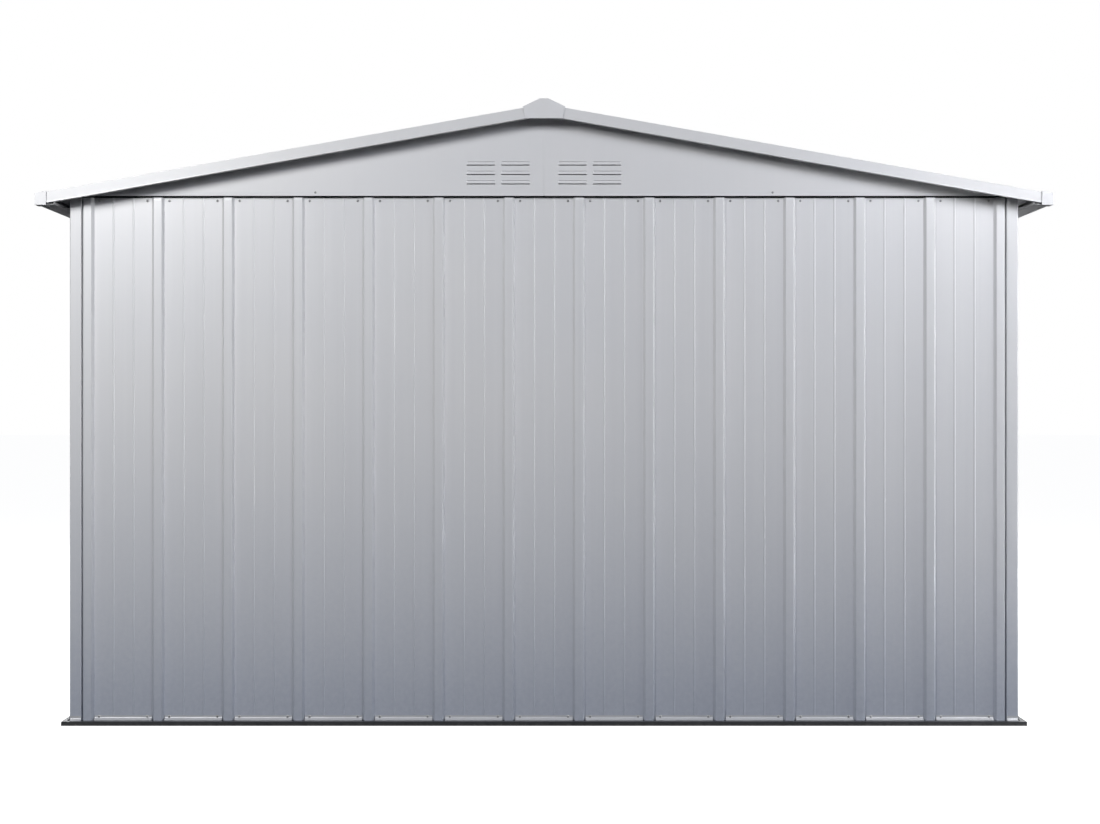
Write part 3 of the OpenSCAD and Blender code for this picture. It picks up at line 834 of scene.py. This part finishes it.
def makeGable(side, end, name):
    def point(x, u, z):
        return Vector((side * x, end * (depthHalf + u), z))

    work = bmesh.new()
    for quads, smooth in ((gableFlats(), False), (gableCurves(), True)):
        for quad in quads:
            corners = [point(*corner) for corner in (quad if side * end < 0 else quad[::-1])]
            work.faces.new([work.verts.new(corner) for corner in corners]).smooth = smooth
    bmesh.ops.remove_doubles(work, verts=work.verts[:], dist=weldDistance)
    curved = [face.smooth for face in work.faces]
    mesh = bpy.data.meshes.new("pressed_" + name)
    work.to_mesh(mesh)
    work.free()
    mesh.materials.append(gableMaterial)
    mesh.set_sharp_from_angle(angle=math.radians(gable["sharpAngle"]))
    mesh.polygons.foreach_set("use_smooth", curved)
    piece = placePiece(mesh, [name])
    solid = piece.modifiers.new("sheet thickness", "SOLIDIFY")
    solid.thickness = sheetThickness
    solid.offset = -1
    return piece


for side, sideName in ((-1, "left"), (1, "right")):
    for end, endName in ((-1, "front"), (1, "back")):
        makeGable(side, end, f"{endName}_gable_{sideName}")
print("gables made")


# Base

baseRail = {"ledgeOut": 0.020, "upstand": 0.060, "ground": 0.032, "bend": 0.0012,
            "tabHigh": 0.015, "tabTurn": 0.0075, "tabOut": 0.009, "tabBend": 0.010, "tabRoom": 0.001,
            "footTurn": 0.0045, "footRoom": 0.002, "steps": 32, "tabSteps": 8}


def makeBaseRail(wall):
    name = "base_rail_" + wallNames[wall]
    inner = -ribs["height"] - sheetThickness

    def mitred(a, b, share):
        return onWall(wall, share * (halfLength(wall) + a), a, b)

    angle = roundedLine([
        (inner - baseRail["ground"], 0), (inner, 0, baseRail["bend"]), (inner, baseRail["upstand"])])
    shares = [2 * i / baseRail["steps"] - 1 for i in range(baseRail["steps"] + 1)]
    verts, faces, bend = sweptSheet(angle, sheetThickness, shares, mitred)
    meshPiece("upstand_" + wallNames[wall], verts, faces, railMaterial, [], bend)
    ledge = roundedLine([
        (inner, ledgeTop), (baseRail["ledgeOut"], ledgeTop, baseRail["bend"]), (baseRail["ledgeOut"], 0)])
    verts, faces, bend = sweptSheet(ledge, -sheetThickness, shares, mitred)
    meshPiece("ledge_" + wallNames[wall], verts, faces, ledgeMaterial, [name], bend)


def makeBaseTabs(wall):
    places, pitch = wallRibs(wall)
    back = -ribs["height"] + ribs["beadHeight"]
    toe = ledgeTop - sheetThickness / 2

    def tabLine(face, turn):
        return roundedLine([
            (face, ledgeTop + baseRail["tabHigh"]), (face, ledgeTop + turn, baseRail["tabBend"]),
            (face + baseRail["tabOut"], toe)], baseRail["tabSteps"])

    line = tabLine(back, baseRail["tabTurn"])
    reach = (pitch - ribs["foot"]) / 2 - baseRail["tabRoom"]
    parts = []
    for at in places[:-1]:
        middle = at + pitch / 2
        parts.append(sweptSheet(line, sheetThickness, [middle - reach, middle, middle + reach],
                                lambda a, b, x: onWall(wall, x, a, b)))
    front = tabLine(edgeGap, baseRail["footTurn"])
    half = halfLength(wall)
    for corner in (-1, 1):
        ends = sorted((corner * (half - cornerWidth), corner * (half - baseRail["footRoom"])))
        parts.append(sweptSheet(front, sheetThickness, ends, lambda a, b, x: onWall(wall, x, a, b)))
    verts, faces, bend = joined(parts)
    meshPiece("tabs_" + wallNames[wall], verts, faces, tabMaterial, [], bend)


for wall in range(4):
    makeBaseRail(wall)
    makeBaseTabs(wall)
print("base made")


# Screws

screw = {
    "washer": [(0.0046, -0.0002), (0.0048, 0.0003), (0.0047, 0.0008), (0.0040, 0.0011), (0.0030, 0.0011)],
    "head": [(0.0031, 0.0009), (0.0033, 0.0014), (0.0032, 0.0020), (0.0028, 0.0025), (0.0023, 0.0028),
             (0.0020, 0.0029)],
    "crossReach": 0.0017, "crossCore": 0.0006, "crossTop": 0.0029, "crossDepth": 0.0013,
    "crossTaper": 0.55, "sides": 24, "crossSides": 12, "sharpAngle": 35, "seed": 7,
    "aside": 0.0354, "high": 0.0105, "low": 0.011, "gableAt": 0.729, "gableHigh": 0.0112,
    "roofRows": (0.105, 0.80), "roofEdge": 0.045,
}
screwSides = screw["sides"]
turns = random.Random(screw["seed"])


def rings(place, axes, profile, spin):
    # Rings of points round an axis, and the faces between them
    across, up, out = axes
    verts = []
    for radius, height in profile:
        for i in range(screwSides):
            angle = 2 * math.pi * i / screwSides + spin
            aside = (across * math.cos(angle) + up * math.sin(angle)) * radius
            verts.append(place + aside + out * height)
    faces = []
    for row in range(len(profile) - 1):
        for i in range(screwSides):
            j = (i + 1) % screwSides
            low = row * screwSides
            faces.append((low + i, low + j, low + screwSides + j, low + screwSides + i))
    return verts, faces


def headMesh(place, axes):
    # A pan head with a cross recess
    across, up, out = axes
    spin = turns.uniform(0, math.pi / 2)
    verts, faces = rings(place, axes, screw["head"], spin)
    last = (len(screw["head"]) - 1) * screwSides
    cross = last + screwSides
    count = screw["crossSides"]
    for scale, height in ((1.0, 0.0), (screw["crossTaper"], screw["crossDepth"])):
        for i in range(count):
            # Two of three corners lie on the arms, the third in the angle between two arms
            angle = 2 * math.pi * i / count + spin
            reach = scale * (screw["crossCore"] if i % 3 == 0 else screw["crossReach"])
            aside = (across * math.cos(angle) + up * math.sin(angle)) * reach
            verts.append(place + aside + out * (screw["crossTop"] - height))
    floor = cross + count
    for i in range(count):
        j = (i + 1) % count
        outer = (last + 2 * i, last + 2 * i + 1, last + (2 * i + 2) % screwSides)
        faces.append((*outer, cross + j, cross + i))
        faces.append((cross + i, cross + j, floor + j, floor + i))
    faces.append(tuple(range(floor, floor + count)))
    return verts, faces, []


def washerMesh(place, axes):
    verts, faces = rings(place, axes, screw["washer"], 0)
    return verts, faces, []


def screwPieces(name, places):
    kinds = (("screws_", headMesh, screwMaterial), ("washers_", washerMesh, washerMaterial))
    for kind, makeMesh, material in kinds:
        verts, faces, bend = joined([makeMesh(place, axes) for place, axes in places])
        meshPiece(kind + name, verts, faces, material, (), bend, screw["sharpAngle"])


def makeWallScrews(wall):
    ribPlaces = wallRibs(wall)[0]
    origin = onWall(wall, 0, 0, 0)
    across = onWall(wall, 1, 0, 0) - origin
    out = onWall(wall, 0, 1, 0) - origin
    axes = (across, Vector((0, 0, 1)), out)
    tabFace = -ribs["height"] + ribs["beadHeight"] + sheetThickness
    places = []
    for index, middle in enumerate(ribPlaces):
        for side in (-1, 1):
            if (index == 0 and side < 0) or (index == len(ribPlaces) - 1 and side > 0):
                continue
            at = middle + side * screw["aside"]
            places.append((onWall(wall, at, -ribs["height"], wallTop - screw["high"]), axes))
            places.append((onWall(wall, at, tabFace, ledgeTop + screw["low"]), axes))
    if wall % 2 == 0:
        for side in (-1, 1):
            at = onWall(wall, side * screw["gableAt"], sheetThickness, gableBottom + screw["gableHigh"])
            places.append((at, axes))
    screwPieces(wallNames[wall], places)


def makeRoofScrews(side, sideName):
    ribPlaces = roofRibs()[0]
    length = (eaveInner - roof["room"]) / math.cos(roofPitch)
    across = Vector((0, 1, 0))
    up = onSlope(side, -1, 0, 0) - onSlope(side, 0, 0, 0)
    out = onSlope(side, 0, 0, 1) - onSlope(side, 0, 0, 0)
    axes = (across, up, out)
    places = []
    for middle in ribPlaces[:-1]:
        for s in (*screw["roofRows"], length - screw["roofEdge"]):
            at = onSlope(side, s, middle + screw["aside"], -sheetThickness - ribs["height"])
            places.append((at, axes))
    screwPieces("roof_" + sideName, places)


for wall in range(4):
    makeWallScrews(wall)
makeRoofScrews(-1, "left")
makeRoofScrews(1, "right")
print("screws made")


# Nodes whose own shape stays get softened edges and a material; the top rails under the gables are
# painted near black as shadow

kept = {"railBevel": 0.0003, "capBevel": 0.0004, "segments": 3, "sharpAngle": 25}


def keepNode(name, material, width):
    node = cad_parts[name]
    node.data.materials.clear()
    node.data.materials.append(material)
    weld = node.modifiers.new("weld", "WELD")
    weld.merge_threshold = weldDistance
    bevel = node.modifiers.new("soft edges", "BEVEL")
    bevel.width = width
    bevel.segments = kept["segments"]
    bevel.limit_method = "ANGLE"
    bevel.angle_limit = math.radians(kept["sharpAngle"])
    bevel.harden_normals = True


for wallName in wallNames:
    keepNode("base_edge_" + wallName, edgeMaterial, kept["railBevel"])
    # Under the gables the rail gets the painted shadow black; the side rails stay galvanised
    underGable = wallName in ("front", "back")
    keepNode("top_rail_" + wallName, railPaintedShadowMaterial if underGable else railMaterial, kept["railBevel"])
keepNode("roof_beams", railMaterial, kept["capBevel"])
keepNode("ridge_end_caps", capMaterial, kept["capBevel"])
keepNode("eave_end_caps", capMaterial, kept["capBevel"])
print("kept nodes finished")


# Studio

ground = {"size": 60.0, "roughness": 0.9, "cloudScale": 0.8, "glow": 0.95,
          "color": (0.34, 0.34, 0.34, 1), "tint": (0.36, 0.36, 0.36, 1)}


def makeFloor():
    size = ground["size"]
    corners = [(-size, -size, 0), (size, -size, 0), (size, size, 0), (-size, size, 0)]
    mesh = bpy.data.meshes.new("studioFloor")
    mesh.from_pydata(corners, [], [(0, 1, 2, 3)])
    floor = bpy.data.objects.new("studioFloor", mesh)
    bpy.context.scene.collection.objects.link(floor)
    material = bpy.data.materials.new("paleFloor")
    material.use_nodes = True
    tree = material.node_tree
    shader = tree.nodes["Principled BSDF"]
    shader.inputs["Roughness"].default_value = ground["roughness"]
    shader.inputs["Specular IOR Level"].default_value = 0.0
    place = tree.nodes.new("ShaderNodeTexCoord").outputs["Object"]
    cloud = addNoise(tree, place, ground["cloudScale"])
    clouded = addMix(tree, cloud, ground["color"], ground["tint"])
    tree.links.new(clouded, shader.inputs["Base Color"])
    shader.inputs["Emission Color"].default_value = (1, 1, 1, 1)
    shader.inputs["Emission Strength"].default_value = ground["glow"]
    mesh.materials.append(material)
    floor.visible_glossy = False
    floor.visible_diffuse = False


sky = {
    # height share and brightness of each stop, from below to straight up
    "stops": ((0.0, 0.0), (0.45, 0.01), (0.52, 0.10), (0.60, 0.11), (0.75, 0.14), (1.0, 0.2)),
    "tint": (0.88, 0.97, 1.18), "strength": 0.6, "backdrop": 1.0,
}


def makeWorld():
    world = bpy.data.worlds.new("softStudio")
    bpy.context.scene.world = world
    world.use_nodes = True
    tree = world.node_tree
    tree.nodes.clear()
    direction = tree.nodes.new("ShaderNodeTexCoord").outputs["Generated"]
    split = tree.nodes.new("ShaderNodeSeparateXYZ")
    tree.links.new(direction, split.inputs[0])
    ramp = tree.nodes.new("ShaderNodeValToRGB")
    height = addShifted(tree, split.outputs["Z"], gain=0.5, shift=0.5)
    tree.links.new(height, ramp.inputs[0])
    ramp.color_ramp.interpolation = "EASE"
    while len(ramp.color_ramp.elements) < len(sky["stops"]):
        ramp.color_ramp.elements.new(0.5)
    for element, (position, value) in zip(ramp.color_ramp.elements, sky["stops"]):
        element.position = position
        element.color = (*(value * channel for channel in sky["tint"]), 1)
    soft = tree.nodes.new("ShaderNodeBackground")
    tree.links.new(ramp.outputs[0], soft.inputs["Color"])
    soft.inputs["Strength"].default_value = sky["strength"]
    backdrop = tree.nodes.new("ShaderNodeBackground")
    backdrop.inputs["Color"].default_value = (1, 1, 1, 1)
    backdrop.inputs["Strength"].default_value = sky["backdrop"]
    path = tree.nodes.new("ShaderNodeLightPath")
    mix = tree.nodes.new("ShaderNodeMixShader")
    tree.links.new(path.outputs["Is Camera Ray"], mix.inputs[0])
    tree.links.new(soft.outputs[0], mix.inputs[1])
    tree.links.new(backdrop.outputs[0], mix.inputs[2])
    output = tree.nodes.new("ShaderNodeOutputWorld")
    tree.links.new(mix.outputs[0], output.inputs["Surface"])


def addSoftbox(name, place, target, size, power, tint):
    light = bpy.data.lights.new(name, "AREA")
    light.shape = "RECTANGLE"
    light.size, light.size_y = size
    light.energy = power
    light.color = tint
    lamp = bpy.data.objects.new(name, light)
    bpy.context.scene.collection.objects.link(lamp)
    lamp.location = place
    lamp.rotation_euler = (Vector(target) - Vector(place)).to_track_quat("-Z", "Y").to_euler()
    lamp.visible_camera = False
    return lamp


cool = (0.96, 0.98, 1.05)
plain = (1, 1, 1)
studio = {
    # Place, target, size, power and tint of each softbox
    "leftKey": ((-2.9, -5.2, 3.35), (-1.6, -1.18, 1.1), (1.0, 1.5), 162, plain),
    "rightKey": ((2.9, -5.2, 3.35), (1.7, -1.18, 1.1), (1.0, 1.5), 90, cool),
    "rightNear": ((2.5, -2.8, 2.5), (2.1, -1.18, 1.3), (0.7, 0.7), 9, plain),
    "rightLow": ((4.2, -1.8, 0.5), (0.0, -1.18, 1.0), (0.8, 0.5), 20, plain),
    "frontFill": ((0, -6.8, 4.2), (0, -1.18, 0.9), (3.0, 1.0), 8, cool),
    "backLeft": ((-2.9, 4.4, 3.2), (-1.6, 1.18, 1.1), (1.8, 1.5), 125, plain),
    "backRight": ((2.9, 4.4, 3.2), (1.6, 1.18, 1.1), (1.8, 1.5), 105, plain),
    "backFill": ((0, 6.8, 2.6), (0, 1.18, 1.0), (3.0, 1.5), 30, cool),
    "sideLeft": ((-4.2, 0.3, 3.0), (-1.5, 0.2, 1.2), (2.4, 1.4), 60, plain),
    "sideRight": ((4.2, 0.3, 3.0), (1.5, 0.2, 1.2), (2.4, 1.4), 66, plain),
    "overhead": ((0, 0, 5.0), (0, 0, 0), (3.5, 3.5), 20, cool),
}
shines = {
    # Only for the glints on the bends
    "highShine": ((2.7, -2.15, 1.9), (0, -1.18, 1.3), (0.5, 1.8), 46, plain),
    "lowShine": ((2.8, -2.25, 0.3), (0, -1.18, 0.5), (0.6, 0.5), 16, plain),
}


def makeLights():
    for name, values in studio.items():
        addSoftbox(name, *values)
    for name, values in shines.items():
        addSoftbox(name, *values).visible_diffuse = False


view = {"distance": 4.86, "height": 0.997, "sensor": 36.0, "lens": 49.87, "shift": 0.00545}


def makeCamera():
    data = bpy.data.cameras.new("viewCamera")
    data.sensor_width = view["sensor"]
    data.lens = view["lens"]
    data.shift_x = view["shift"]
    camera = bpy.data.objects.new("viewCamera", data)
    camera.location = (0, -depthHalf - view["distance"], view["height"])
    camera.rotation_euler = (math.radians(90), 0, 0)
    bpy.context.scene.collection.objects.link(camera)
    bpy.context.scene.camera = camera


makeFloor()
makeWorld()
makeLights()
makeCamera()
bpy.context.scene.view_settings.view_transform = "Standard"
print("studio made")
